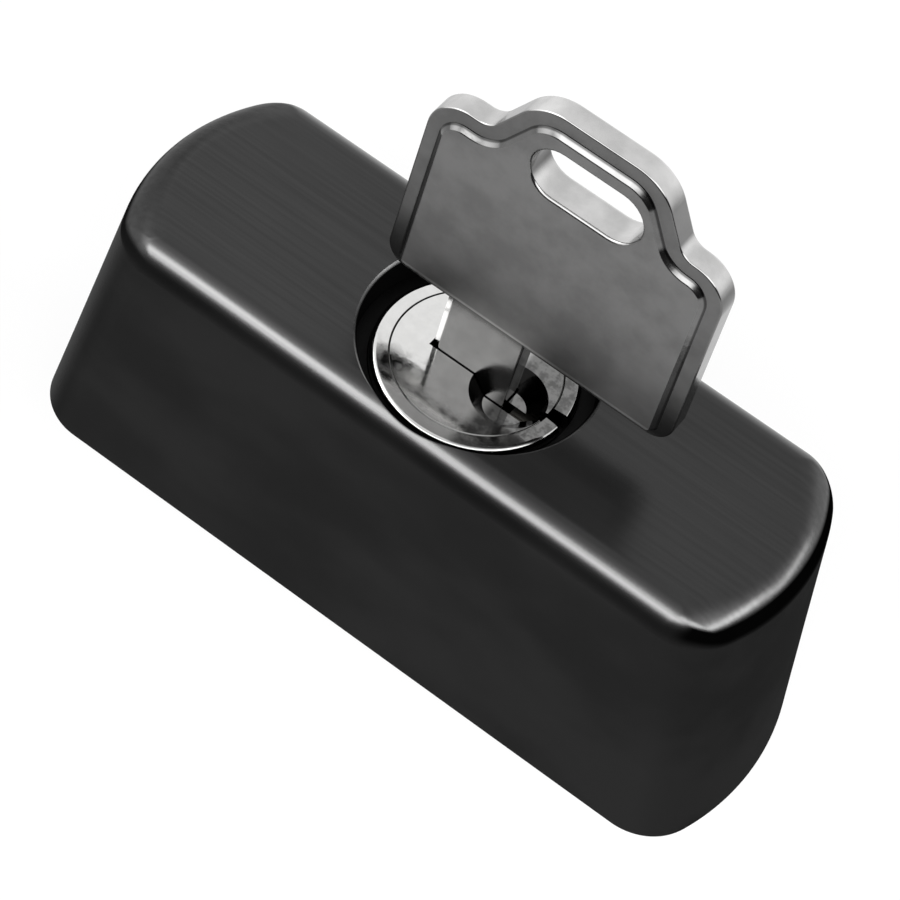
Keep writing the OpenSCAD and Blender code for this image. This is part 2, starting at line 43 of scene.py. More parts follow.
class Field:  # one socket of a node tree, usable in Python expressions
    def __init__(self, maker, socket):
        self.maker = maker
        self.socket = socket

    def maths(self, operation, *values):
        return self.maker.node("ShaderNodeMath", {"operation": operation},
                               dict(enumerate(values)))

    def __add__(self, other):
        return self.maths("ADD", self, other)

    def __sub__(self, other):
        return self.maths("SUBTRACT", self, other)

    def __rsub__(self, other):
        return self.maths("SUBTRACT", other, self)

    def __mul__(self, other):
        return self.maths("MULTIPLY", self, other)

    def __pow__(self, other):
        return self.maths("POWER", self, other)

    def __rpow__(self, other):
        return self.maths("POWER", other, self)

    __radd__ = __add__
    __rmul__ = __mul__

    def __neg__(self):
        return self.maths("MULTIPLY", self, -1)

    def __abs__(self):
        return self.maths("ABSOLUTE", self)

    def most(self, other):
        return self.maths("MAXIMUM", self, other)

    def rise(self, low, high, bottom=0.0, top=1.0):  # a smooth step from low to high
        return self.maker.node("ShaderNodeMapRange", {"interpolation_type": "SMOOTHSTEP"},
                               {"Value": self, "From Min": low, "From Max": high,
                                "To Min": bottom, "To Max": top})

    def other(self, name):  # another output of the same node
        return Field(self.maker, self.socket.node.outputs[name])


class Maker:  # adds nodes to one material or world
    def __init__(self, owner):
        owner.use_nodes = True
        self.tree = owner.node_tree
        self.tree.nodes.clear()

    def node(self, kind, settings=None, sockets=None, give=0):
        made = self.tree.nodes.new(kind)
        for name, setting in (settings or {}).items():
            setattr(made, name, setting)
        for name, value in (sockets or {}).items():
            if isinstance(value, Field):
                self.tree.links.new(value.socket, made.inputs[name])
            else:
                made.inputs[name].default_value = value
        return Field(self, made.outputs[give]) if made.outputs else None

    def place(self):  # where a point is on its own piece, in metres
        return self.node("ShaderNodeTexCoord", give="Object")

    def facing(self):  # how far the surface faces right, back and up
        return self.parts(self.node("ShaderNodeNewGeometry", give="Normal"))

    def parts(self, vector):
        split = self.node("ShaderNodeSeparateXYZ", None, {0: vector})
        return [split.other(axis) for axis in "XYZ"]

    def stretch(self, vector, factors):
        return self.node("ShaderNodeVectorMath", {"operation": "MULTIPLY"},
                         {0: vector, 1: factors})

    def millimetres(self, place):
        return self.parts(self.stretch(place, (1 / mm, 1 / mm, 1 / mm)))

    def noise(self, vector, scale, detail, roughness):  # the scale is per metre
        return self.node("ShaderNodeTexNoise", None,
                         {"Vector": vector, "Scale": scale, "Detail": detail,
                          "Roughness": roughness}, "Fac")

    def grey(self, level, tint=(1.0, 1.0, 1.0)):  # a grey of changing level, times a tint
        both = self.node("ShaderNodeCombineXYZ", None, {0: level, 1: level, 2: level})
        return self.stretch(both, tint)

    def bump(self, height, strength, depth=0.02):  # the depth is in mm
        return self.node("ShaderNodeBump", None,
                         {"Height": height, "Distance": depth * mm, "Strength": strength})


def blend(low, high, share):
    return low + (high - low) * share


def link(name, data):
    made = bpy.data.objects.new(name, data)
    bpy.context.scene.collection.objects.link(made)
    return made


# turns are in radians, the nearest and farthest in metres, and other lengths in mm
view = dict(yaw=-0.33931, pitch=-0.61709, roll=-0.33715, distance=238.33, focal=119.908,
            sensor=36, shiftX=0.03852, shiftY=0.09857, nearest=0.01, farthest=20)


def makeCamera():
    v = view
    turn = (Matrix.Rotation(v["roll"], 3, "Z") @ Matrix.Rotation(v["pitch"], 3, "X")
            @ Matrix.Rotation(v["yaw"], 3, "Z")).transposed()
    away = turn @ Vector((0, 0, v["distance"] * mm))
    camera = link("camera", bpy.data.cameras.new("camera"))
    camera.matrix_world = Matrix.Translation(away) @ turn.to_4x4()
    camera.data.lens = v["focal"]
    camera.data.sensor_width = v["sensor"]
    camera.data.shift_x = v["shiftX"]
    camera.data.shift_y = v["shiftY"]
    camera.data.clip_start, camera.data.clip_end = v["nearest"], v["farthest"]
    bpy.context.scene.camera = camera


makeCamera()


def loft(name, rings, joined=False, firstLid=True):
    # a skin through rings with the same number of points, closed by two lids or joined end to end
    bm = bmesh.new()
    rows = [[bm.verts.new([part * mm for part in point]) for point in ring] for ring in rings]
    n = len(rows[0])
    for low, high in zip(rows, rows[1:] + rows[:1] if joined else rows[1:]):
        for i in range(n):
            j = (i + 1) % n
            bm.faces.new((low[i], low[j], high[j], high[i]))
    if firstLid and not joined:
        bm.faces.new(rows[0][::-1])
    if not joined:
        bm.faces.new(rows[-1])
    bmesh.ops.recalc_face_normals(bm, faces=bm.faces)
    mesh = bpy.data.meshes.new(name)
    bm.to_mesh(mesh)
    bm.free()
    return link(name, mesh)


def circle(r, z, n=96, centre=(0, 0)):
    return [(centre[0] + r * cos(2 * pi * i / n), centre[1] + r * sin(2 * pi * i / n), z)
            for i in range(n)]


def turned(name, profile, n=96, centre=(0, 0), joined=False):
    # a solid of revolution about Z from (r, z) pairs
    return loft(name, [circle(r, z, n, centre) for r, z in profile], joined)


def block(name, low, high):
    return loft(name, [[(low[0], low[1], z), (high[0], low[1], z), (high[0], high[1], z),
                        (low[0], high[1], z)] for z in (low[2], high[2])])


def quarter(steps):  # the angles of a quarter turn
    return [pi / 2 * i / steps for i in range(steps + 1)]


def carve(piece, cutters, operation="DIFFERENCE"):
    # works the cutters into the piece and drops them, and the slivers that they leave
    for cutter in cutters:
        tool = piece.modifiers.new("carve", "BOOLEAN")
        tool.operation = operation
        tool.solver = "EXACT"
        tool.object = cutter
    bpy.context.view_layer.update()
    ready = piece.evaluated_get(bpy.context.evaluated_depsgraph_get())
    mesh = bpy.data.meshes.new_from_object(ready)
    bm = bmesh.new()
    bm.from_mesh(mesh)
    bmesh.ops.dissolve_degenerate(bm, dist=0.0001 * mm, edges=bm.edges)
    bm.to_mesh(mesh)
    bm.free()
    piece.modifiers.clear()
    old = piece.data
    piece.data = mesh
    for used in [old] + [cutter.data for cutter in cutters]:
        bpy.data.meshes.remove(used)  # its object goes with it
    return piece


def smooth(piece, angle):  # soft shading, sharp where faces meet at more than the angle
    piece.data.shade_smooth()
    piece.data.set_sharp_from_angle(angle=radians(angle))
    tool = piece.modifiers.new("flat faces stay flat", "WEIGHTED_NORMAL")
    tool.keep_sharp = True
    tool.weight = 100


# footEdge has (height, inset) pairs, mouthEdge (outward, upward) pairs from the chamfer's foot
case = dict(height=25.4, topLength=57, baseLength=64.4, topWidth=20.6, baseWidth=21.8,
            bowTop=3.4, bowBase=2.8, cornerR=5, topCornerR=0.5, cornerDepth=1.35,
            edgeR=2.5, edgeSteps=20, footEdge=((0, 0.2), (0.06, 0.06), (0.2, 0)),
            levels=(4, 10, 16, 21), wall=1.8, ledge=0.02, roof=3.2, baseT=1.5, hollowLow=-0.3,
            mouthR=9.2, mouthChamfer=0.35, mouthEdge=((0, -0.12), (0.03, 0.02), (0.12, 0.14)),
            mouthSides=160, boreR=8.05, bushBottom=19.9, blockX=14.85, ribW=2.4,
            postR=3.35, postSides=64, holeSides=32, fixingSides=48,
            fixingSpacing=38, fixingR=1.65, fixingDepth=14, leadR=0.45, leadDepth=0.25,
            drillTip=0.8, drillTipR=0.1, screwSpacing=24, screwR=1.27, screwLow=1, screwDepth=6,
            latchZ=7.7, latchW=5.6, latchT=1.6, pocketX=9.506, pocketGap=0.25, travel=10,
            pinR=1.02, pinZ=18.3, pinEnd=-4, past=0.2, smoothAngle=24)


def between(low, high, z):
    return low + (high - low) * z / case["height"]


def outline(length, width, bow, r, z, cornerSteps=18, endSteps=28, sideSteps=12):
    # a long box with bowed ends and round corners, seen from above
    endR = (width * width / 4 + bow * bow) / (2 * bow)
    endX = length / 2 - endR
    cornerY = width / 2 - r
    cornerX = endX + sqrt((endR - r) ** 2 - cornerY ** 2)
    turn = atan2(cornerY, cornerX - endX)
    half = []
    for i in range(cornerSteps + 1):
        a = -pi / 2 + (pi / 2 - turn) * i / cornerSteps
        half.append((cornerX + r * cos(a), -cornerY + r * sin(a)))
    leftX = -half[0][0]
    for i in range(1, endSteps):
        a = -turn + 2 * turn * i / endSteps
        half.append((endX + endR * cos(a), endR * sin(a)))
    for i in range(cornerSteps + 1):
        a = turn + (pi / 2 - turn) * i / cornerSteps
        half.append((cornerX + r * cos(a), cornerY + r * sin(a)))
    for i in range(1, sideSteps):
        half.append((blend(cornerX, leftX, i / sideSteps), width / 2))
    return [(x, y, z) for x, y in half] + [(-x, -y, z) for x, y in half]


def caseRing(z, inset, r):
    return outline(between(case["baseLength"], case["topLength"], z) - 2 * inset,
                   between(case["baseWidth"], case["topWidth"], z) - 2 * inset,
                   between(case["bowBase"], case["bowTop"], z), r, z)


def makeCase():
    c = case
    under, over, wide = -1, 30, 20  # past the case on every side
    rings = [caseRing(z, inset, c["cornerR"] - inset) for z, inset in c["footEdge"]]
    rings += [caseRing(z, 0, c["cornerR"]) for z in c["levels"]]
    narrowing = (c["cornerR"] - c["topCornerR"]) / c["cornerDepth"]
    for a in quarter(c["edgeSteps"]):
        inset = c["edgeR"] * (1 - cos(a))
        rings.append(caseRing(c["height"] - c["edgeR"] * (1 - sin(a)), inset,
                              max(c["topCornerR"], c["cornerR"] - narrowing * inset)))
    shell = loft("case_shell", rings)

    def hollow(name, top, wall):
        return loft(name, [caseRing(z, wall, c["cornerR"] - wall)
                           for z in (c["hollowLow"], top)])

    def pair(name, profile, spacing, n):  # one on each side of the mouth
        return [turned(name, profile, n, (side * spacing / 2, 0)) for side in (-1, 1)]

    def posts():
        return pair("post", [(c["postR"], under), (c["postR"], c["height"])],
                    c["fixingSpacing"], c["postSides"])

    recess = carve(hollow("recess", c["baseT"], c["wall"]), posts())
    middle = block("middle", (-c["blockX"], -wide, under), (c["blockX"], wide, over))
    rib = block("rib", (-c["fixingSpacing"] / 2, -c["ribW"] / 2, under),
                (c["fixingSpacing"] / 2, c["ribW"] / 2, over))
    ends = carve(hollow("ends", c["height"] - c["roof"], c["wall"] + c["ledge"]),
                 posts() + [middle, rib])
    chamferZ = c["height"] - c["mouthChamfer"]
    reach = 2  # the chamfer's cutter goes on past the top
    mouth = turned("mouth", [(c["boreR"], under), (c["boreR"], c["bushBottom"]),
                             (c["mouthR"], c["bushBottom"])]
                   + [(c["mouthR"] + out, chamferZ + up) for out, up in c["mouthEdge"]]
                   + [(c["mouthR"] + c["mouthChamfer"] + reach, c["height"] + reach)],
                   c["mouthSides"])
    fixings = pair("fixing", [(c["fixingR"] + c["leadR"], -c["past"]),
                              (c["fixingR"], c["leadDepth"]),
                              (c["fixingR"], c["fixingDepth"] - c["drillTip"]),
                              (c["drillTipR"], c["fixingDepth"])],
                   c["fixingSpacing"], c["fixingSides"])
    screwHoles = pair("screw hole", [(c["screwR"], c["screwLow"]),
                                     (c["screwR"], c["baseT"] + c["screwDepth"])],
                      c["screwSpacing"], c["holeSides"])
    pockets = [block("pocket", (0, -c["latchW"] / 2 - c["pocketGap"],
                                c["latchZ"] - c["pocketGap"] + lift),
                     (c["pocketX"], c["latchW"] / 2 + c["pocketGap"],
                      c["latchZ"] + c["latchT"] + c["pocketGap"] + lift))
               for lift in (0, c["travel"])]
    pinRing = [(y, c["pinZ"] + z) for y, z, _ in circle(c["pinR"], 0, c["holeSides"])]
    pinHole = loft("pin hole", [[(x, y, z) for y, z in pinRing]
                                for x in (-c["blockX"] - c["past"], c["pinEnd"])])
    carve(shell, [recess, ends, mouth] + fixings + screwHoles + pockets + [pinHole])
    smooth(shell, c["smoothAngle"])
    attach(shell, "case")
    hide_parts("housing")
    return shell


caseShell = makeCase()
print("case made", len(caseShell.data.polygons))


key = dict(bowW=24.8, bowH=17.5, bowX=3.3, bowZ=29.3, taper=0.25, shoulderR=3,
           lowerR=1.8, lowerShare=0.5, humpH=4.9, humpW=5.5, humpFoot=17.7, humpAngle=59,
           crestShare=0.7, humpOffset=0.25, rimT=1.9, rise=0.45, inset=1.55, panelFlat=0.2,
           faceEdge=0.14, step=0.1, rimEdge=0.2,
           slotL=9, slotH=4.3, slotX=0.55, slotZ=17.6, slotLip=0.3, lipSteps=5, slotPast=0.4,
           bladeX=-3.5, bladeW=6.8, bladeT=2, bladeInBow=2.4, bladeBevel=0.5, bladeSoft=0.14,
           bladeSofter=0.04, bevelSoft=0.06, tipZ=12, tipW=2.2, tipH=1.4, cutDepth=0.9,
           waferZ=(20.7, 18.8, 16.9, 15.0, 13.1), cutScale=(1, 1.3, 0.8, 1.2, 0.9),
           smoothAngle=35)


def arc(cx, cy, r, start, end, steps=14):
    return [(cx + r * cos(radians(start + (end - start) * i / steps)),
             cy + r * sin(radians(start + (end - start) * i / steps)))
            for i in range(steps + 1)]


def bowRing(inset, y):  # the outline of the bow, drawn in by the inset
    k = key
    low, sr, off, ang = k["lowerR"], k["shoulderR"], k["humpOffset"], k["humpAngle"]
    a = radians(ang)
    run = (k["humpFoot"] - k["humpW"]) / 2
    bothR = (run * sin(a) - k["humpH"] * cos(a)) / (1 - cos(a))
    crestR = bothR * k["crestShare"]
    footR = bothR - crestR
    side = k["bowW"] / 2
    shoulder = side - k["taper"] - sr
    top = k["bowH"] + k["humpH"]
    foot = low - inset * (1 - k["lowerShare"])
    path = (arc(-side + low, foot, low - inset, 180, 270)
            + arc(side - low, foot, low - inset, 270, 360)
            + arc(shoulder, k["bowH"] - sr, sr - inset, 0, 90)
            + arc(off + k["humpFoot"] / 2, k["bowH"] + footR, footR + inset, 270, 270 - ang)
            + arc(off + k["humpW"] / 2, top - crestR, crestR - inset, 90 - ang, 90)
            + arc(off - k["humpW"] / 2, top - crestR, crestR - inset, 90, 90 + ang)
            + arc(off - k["humpFoot"] / 2, k["bowH"] + footR, footR + inset, 270 + ang, 270)
            + arc(-shoulder, k["bowH"] - sr, sr - inset, 90, 180))
    return [(k["bowX"] + x, y, k["bowZ"] + z) for x, z in path]


def softened(corners, radii, steps=5, most=2.05):
    # rounds the inner corners of an open path, each over less than half of its sides
    path = [corners[0]]
    for before, at, after, radius in zip(corners, corners[1:], corners[2:], radii):
        a, b, c = Vector(before), Vector(at), Vector(after)
        reach = min(radius, (a - b).length / most, (c - b).length / most)
        start, end = b + (a - b).normalized() * reach, b + (c - b).normalized() * reach
        for i in range(steps + 1):
            t = i / steps
            path.append(tuple(start * (1 - t) ** 2 + b * 2 * t * (1 - t) + end * t * t))
    path.append(corners[-1])
    return path


def makeKey():
    k = key
    rim = k["rimT"] / 2
    face = rim + k["rise"]
    half = softened([(k["inset"] + k["panelFlat"], face), (k["inset"], face),
                     (k["inset"] - k["rise"], rim), (0, rim), (0, 0)],
                    [k["faceEdge"], k["step"], k["rimEdge"]])
    profile = [(inset, -y) for inset, y in half] + [(inset, y) for inset, y in half[-2::-1]]
    bow = loft("key_shape", [bowRing(inset, y) for inset, y in profile])

    def slotRing(grow, y, steps=16):
        r = k["slotH"] / 2 + grow
        straight = (k["slotL"] - k["slotH"]) / 2
        x, z = k["bowX"] + k["slotX"], k["bowZ"] + k["slotZ"]
        return [(px, y, pz) for px, pz in arc(x + straight, z, r, -90, 90, steps)
                + arc(x - straight, z, r, 90, 270, steps)]

    lip, past = k["slotLip"], k["slotPast"]
    flare = [(lip * (1 - cos(a)), face - lip + lip * sin(a)) for a in quarter(k["lipSteps"])]
    flare.append((lip + past, face + past))
    slot = loft("slot", [slotRing(grow, -y) for grow, y in reversed(flare)]
                + [slotRing(grow, y) for grow, y in flare])

    def bladeRing(y, inset, bevel):
        x0, x1 = k["bladeX"] + inset + bevel, k["bladeX"] + k["bladeW"] - inset
        z0, z1 = k["tipZ"] + inset, k["bowZ"] + k["bladeInBow"]
        return [(x0, y, z1), (x0, y, z0 + k["tipH"]), (x0 + k["tipW"], y, z0),
                (x1 - k["tipW"], y, z0), (x1, y, z0 + k["tipH"]), (x1, y, z1)]

    t, bevel = k["bladeT"] / 2, k["bladeBevel"]
    soft, softer = k["bladeSoft"], k["bladeSofter"]
    half = [(t, soft, bevel), (t - softer, softer, bevel),
            (t - soft, 0, bevel - k["bevelSoft"]), (t - bevel, 0, 0)]
    blade = loft("blade", [bladeRing(-y, inset, cut) for y, inset, cut in half]
                 + [bladeRing(y, inset, cut) for y, inset, cut in reversed(half)])
    cuts = []
    for z, scale in zip(k["waferZ"], k["cutScale"]):
        d = k["cutDepth"] * scale / sqrt(2)
        x = k["bladeX"] + k["bladeW"]
        cuts.append(loft("cut", [[(x - d, y, z), (x, y, z - d), (x + d, y, z), (x, y, z + d)]
                                 for y in (-k["bladeT"], k["bladeT"])]))
    carve(blade, cuts)
    carve(bow, [blade], "UNION")
    carve(bow, [slot])
    bow.name = "key_body"
    smooth(bow, k["smoothAngle"])
    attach(bow, "key")
    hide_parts("key")
    return bow


keyBody = makeKey()
print("key made", len(keyBody.data.polygons))


# the seat and the sink are how far its underside reaches into the barrel's chamfer
rim = dict(r=8, sides=120, round=0.5, roundSteps=10, faceZ=23.6, seat=0.1, sink=0.05,
           notchW=1.5, slitW=0.9, plugR=6.6, notchZ=(22, 24), past=0.2, smoothAngle=35)


def makeRim():  # the rounded edge round the barrel's face
    c = rim
    inner, low, outer = c["r"] - c["round"], c["faceZ"] - c["round"], c["r"] + c["past"]
    profile = [(inner + c["round"] * sin(a), low + c["round"] * cos(a))
               for a in quarter(c["roundSteps"])]
    profile += [(inner + c["seat"], low - c["sink"]), (inner - c["seat"], c["faceZ"] - c["seat"])]
    ring = turned("barrel_rim", profile, c["sides"], joined=True)
    notch = loft("notch", [[(c["plugR"], -c["slitW"] / 2, z), (outer, -c["notchW"] / 2, z),
                            (outer, c["notchW"] / 2, z), (c["plugR"], c["slitW"] / 2, z)]
                           for z in c["notchZ"]])
    carve(ring, [notch])
    smooth(ring, c["smoothAngle"])
    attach(ring, "plunger")
    return ring


barrelRim = makeRim()
print("rim made", len(barrelRim.data.polygons))


# A pair says where a tone starts and where it is full, and two more values say what it goes
# from and to. Names ending in X, Y, Z or R measure a place in mm. The others measure how far
# the surface faces up, or to the side that they name, apart from brushed and cloudy, which
# follow a noise. The tones stand for the room's reflections. A noise has a scale, a detail
# and a roughness.
paint = dict(black=0.0095, dullRoughness=0.6, coatIor=1.7, coatRoughness=0.26, grain=0.35,
             grainStretch=(60, 900, 900), grainNoise=(1.0, 4.0, 0.6),
             cloudStretch=(50, 90, 90), cloudNoise=(1.0, 3.0, 0.55),
             brushStretch=(45, 2600, 2600), brushNoise=(1.0, 3.0, 0.6),
             brushed=(0.3, 0.7, 0.87, 1.07), cloudy=(0.35, 0.65, 0.75, 1.15),
             # the mouth's level is painted shade: inside the mouth the paint's colour falls to
             # this share
             mouthShadeLevel=0.2, mouthR=(9.3, 9.45),
             leftCoat=0.12, leftward=(0.4, 0.8), sides=(0.05, 0.12, 0.06, 0.02),
             sidesEnd=(0.16, 0.24), endward=(0.15, 0.45), endX=(15, 20), top=(0.45, 0.68),
             endTop=(0.66, 0.78), flat=(0.90, 0.985, 1.0, 0.62), flatX=(-22, 10, 1.22, 1.0),
             leftShade=0.6, shadeLeftward=(0.10, 0.40), shadeX=(15, 20),
             edge=(0.08, 0.40), shadow=0.35, endShadow=0.92)


def blackPaint(m):
    p = paint
    place = m.place()
    x, y, _ = m.millimetres(place)
    right, _, up = m.facing()
    grain = m.noise(m.stretch(place, p["grainStretch"]), *p["grainNoise"])
    cloud = m.noise(m.stretch(place, p["cloudStretch"]), *p["cloudNoise"])
    brushed = m.noise(m.stretch(place, p["brushStretch"]), *p["brushNoise"])
    outside = ((x * x + y * y) ** 0.5).rise(*p["mouthR"])
    atEnd = right.rise(*p["endward"]) * x.rise(*p["endX"])
    sides = up.rise(*p["sides"]) + (-right).rise(*p["leftward"]) * p["leftCoat"]
    onTop = up.rise(*p["top"]) * (1 - atEnd) + up.rise(*p["endTop"]) * atEnd
    shade = p["leftShade"] * (-right).rise(*p["shadeLeftward"]) * (-x).rise(*p["shadeX"])
    flat = up.rise(*p["flat"]) * x.rise(*p["flatX"])
    top = onTop * (1 - shade) * flat * brushed.rise(*p["brushed"])
    coat = outside * (sides * (1 - up.rise(*p["sidesEnd"])) + top)
    # painted shade: inside the mouth the paint is painted darker, and elsewhere the colour
    # follows random cloudy streaks
    streakAndMouthShade = cloud.rise(*p["cloudy"]) * blend(p["mouthShadeLevel"], 1.0, outside)
    shadow = up.rise(*p["edge"]) * blend(p["shadow"], p["endShadow"], atEnd)
    return {"Base Color": m.grey(p["black"] * streakAndMouthShade * (1 - shadow)),
            "Specular IOR Level": 0.0,
            "Roughness": p["dullRoughness"],
            "Coat Weight": coat,
            "Coat IOR": p["coatIor"],
            "Coat Roughness": p["coatRoughness"],
            "Normal": m.bump(grain, p["grain"])}


# the plug and the barrel share a finish, with painted shade: the keyway's walls, the notch and
# the faces round the gap between them are painted darker
nickel = dict(level=0.9, tint=(1, 0.997, 0.985), roughness=0.07, rougher=0.04, bump=0.15,
              patchNoise=(900.0, 4.0, 0.6), fineNoise=(4000.0, 2.0, 0.55),
              wornNoise=(1100.0, 4.0, 0.65), worn=(0.42, 0.6),
              patchTone=(0.3, 0.7, 0.93, 1.0), patchRough=(0.35, 0.7), fineShare=0.2,
              notchX=(5.8, 6.2), notchY=(0.9, 1.1), rimR=(7.3, 7.6), plugR=6.6,
              # the wall and gap tones are painted shade on the walls inside the rim and round the
              # gap
              gapHalf=0.2, gapSoft=0.05, gapShadeTone=(0.3, 0.6, 0.85, 0.2), wallShadeTone=0.10,
              # the dimming is a dark reflection painted on the face, towards +x where it faces up
              wall=(0.72, 0.97), paintedDimming=0.8, dimmingX=(1.9, 3.0), dimmingUp=(0.9, 0.97),
              dimmingWorn=(0.9, 1.05), markedY=(1.8, 3.0), markedRough=0.1)


def polishedNickel(m):
    c = nickel
    place = m.place()
    x, y, _ = m.millimetres(place)
    _, _, up = m.facing()
    patch = m.noise(place, *c["patchNoise"])
    fine = m.noise(place, *c["fineNoise"])
    worn = m.noise(place, *c["wornNoise"]).rise(*c["worn"])
    r = (x * x + y * y) ** 0.5
    atNotch = x.rise(*c["notchX"]) * (1 - abs(y).rise(*c["notchY"]))
    inside = (1 - r.rise(*c["rimR"])).most(atNotch)
    innerR, outerR = c["plugR"] - c["gapHalf"], c["plugR"] + c["gapHalf"]
    inGap = r.rise(innerR - c["gapSoft"], innerR) * (1 - r.rise(outerR, outerR + c["gapSoft"]))
    # painted shade inside the rim: the walls and the notch take the wall tone, and faces round
    # the gap a tone that darkens as they turn up
    paintedShadeTone = blend(c["wallShadeTone"], up.rise(*c["gapShadeTone"]), inGap * (1 - atNotch))
    level = blend(c["level"], paintedShadeTone, inside * (1 - up.rise(*c["wall"])))
    # painted dark reflection: the face is painted dimmer towards +x where it faces up, mottled by
    # the worn noise
    paintedDimming = c["paintedDimming"] * x.rise(*c["dimmingX"]) * up.rise(*c["dimmingUp"]) * blend(*c["dimmingWorn"], worn)
    marked = (-y).rise(*c["markedY"]) * worn
    rough = patch.rise(*c["patchRough"], c["roughness"], c["roughness"] + c["rougher"])
    return {"Base Color": m.grey(patch.rise(*c["patchTone"]) * level * (1 - paintedDimming), c["tint"]),
            "Metallic": 1.0,
            "Roughness": rough + marked * c["markedRough"],
            "Normal": m.bump(patch + fine * c["fineShare"], c["bump"])}


# the key's tones are partly painted light: the edge, side, top, under, low, rim, foot, crease and
# bevel tones stand for light and shade falling on it, while the face and blade tones and the
# noise are the metal's own
castKey = dict(tint=(1, 0.995, 0.99), cloudNoise=(350.0, 4.0, 0.55), bump=0.5, bumpDepth=0.06,
               cloudTone=(0.3, 0.7, 0.86, 1.1), fineNoise=(3500.0, 3.0, 0.55), uneven=0.12,
               roughness=0.14, faceRoughness=0.36, bladeRoughness=0.2,
               facing=(0.80, 0.97), bowZ=(28.5, 30.0),
               # lowZ and rimShare place painted shade on the rim and the side edges, darker
               # towards the bow's bottom
               face=0.175, blade=0.165, lowZ=(30.5, 36.5, 0.2, 1.0), rimY=(1.05, 1.30),
               # foot is a painted highlight along the panel's lower edge
               rimShare=0.8, foot=0.32, footSink=0.1, footW=0.28, footSoft=0.15,
               # painted light and shade: edges facing up or down are lighter, and edges facing
               # sideways are darker
               side=0.15, top=0.68, upward=(0.45, 0.80), under=0.6, downward=(0.6, 0.9),
               # the crease tone is a painted dark line along the step between the panel and the
               # rim
               groove=0.7, grooveY=(0.94, 0.98), grooveEndY=(1.06, 1.16), fromSlotR=(0.35, 0.5),
               # bevel is a painted highlight on the blade's left edge
               bevel=0.6, bevelLeftward=(0.4, 0.65), bevelForward=(-0.65, -0.4, 1.0, 0.0))


def castNickel(m):
    c, k = castKey, key
    place = m.place()
    x, y, z = m.millimetres(place)
    right, back, up = m.facing()
    cloud = m.noise(place, *c["cloudNoise"])
    fine = m.noise(place, *c["fineNoise"])
    onFace = abs(back).rise(*c["facing"])
    onBow = z.rise(*c["bowZ"])
    # painted shade: low falls towards the bow's bottom
    low = z.rise(*c["lowZ"])
    height = abs(y)
    # painted shade: the rim round the panel is painted darker than the face, most towards the
    # bottom
    onRim = onBow * (1 - height.rise(*c["rimY"]))
    bowFace = c["face"] * (1 - onRim * (1 - low * c["rimShare"]))
    # painted highlight: a light line along the panel's lower edge
    footZ = k["bowZ"] + k["inset"] * k["lowerShare"] - c["footSink"]  # the panel's lower edge
    footEnd = footZ + c["footW"]
    foot = z.rise(footZ, footZ + c["footSink"]) * (1 - z.rise(footEnd, footEnd + c["footSoft"]))
    face = blend(blend(c["blade"], bowFace, onBow), c["foot"], foot * (1 - onRim))
    # painted light and shade: edges facing up or down are painted lighter, and edges facing
    # sideways darker, darker still towards the bow's bottom
    edge = blend(c["side"] * low, c["top"], up.rise(*c["upward"]))
    edge = edge + c["under"] * (-up).rise(*c["downward"])
    beside = (abs(x - k["bowX"] - k["slotX"]) - (k["slotL"] - k["slotH"]) / 2).most(0.0)
    above = z - k["bowZ"] - k["slotZ"]
    fromSlot = (beside * beside + above * above) ** 0.5 - k["slotH"] / 2
    # painted shade: a dark line along the step between the panel and the rim, off the face and
    # clear of the slot
    groove = height.rise(*c["grooveY"]) * (1 - height.rise(*c["grooveEndY"]))
    groove = onBow * groove * (1 - onFace) * fromSlot.rise(*c["fromSlotR"])
    # painted highlight: the blade's left bevel is painted lighter
    bevel = (1 - onBow) * (-right).rise(*c["bevelLeftward"]) * back.rise(*c["bevelForward"])
    level = blend(edge, face, onFace) + c["bevel"] * bevel * (1 - onFace)
    level = level * (1 - c["groove"] * groove)
    rough = blend(c["roughness"], blend(c["bladeRoughness"], c["faceRoughness"], onBow), onFace)
    return {"Base Color": m.grey(level * cloud.rise(*c["cloudTone"]), c["tint"]),
            "Metallic": 1.0,
            "Roughness": rough + (fine - 0.5) * c["uneven"],
            "Normal": m.bump(cloud, c["bump"], c["bumpDepth"])}


acetal = dict(black=0.004, lighter=0.002, roughness=0.5, uneven=0.2, gloss=0.1,
              noise=(2500.0, 3.0, 0.55))


def blackAcetal(m):
    a = acetal
    fine = m.noise(m.place(), *a["noise"])
    return {"Base Color": m.grey(a["black"] + a["lighter"] * fine),
            "Roughness": a["roughness"] + (fine - 0.5) * a["uneven"],
            "Specular IOR Level": a["gloss"]}


# the metals that hardly show, each with a stretch that gives its grain a direction
metals = dict(
    zincPlate=dict(level=0.58, tint=(0.98, 1.0, 1.03), roughness=0.34, scale=900.0,
                   lined=(1, 6, 6)),
    turnedSteel=dict(level=0.60, tint=(1.0, 0.995, 0.985), roughness=0.26, scale=1500.0,
                     lined=(1, 1, 8)),
    screwSteel=dict(level=0.50, tint=(1.0, 0.99, 0.97), roughness=0.32, scale=1800.0,
                    lined=(1, 1, 1)),
    springSteel=dict(level=0.55, tint=(1.0, 1.0, 1.0), roughness=0.3, scale=2500.0,
                     lined=(1, 1, 1)),
    brass=dict(level=0.75, tint=(1.0, 0.80, 0.46), roughness=0.3, scale=1600.0,
               lined=(1, 6, 1)),
    nickelSilver=dict(level=0.36, tint=(1.0, 0.96, 0.88), roughness=0.35, scale=1600.0,
                      lined=(1, 6, 1)))
metalGrain = dict(detail=4.0, noiseRoughness=0.6, span=(0.25, 0.75), tone=(0.85, 1.05),
                  smoother=0.08, rougher=0.1, bump=0.35)


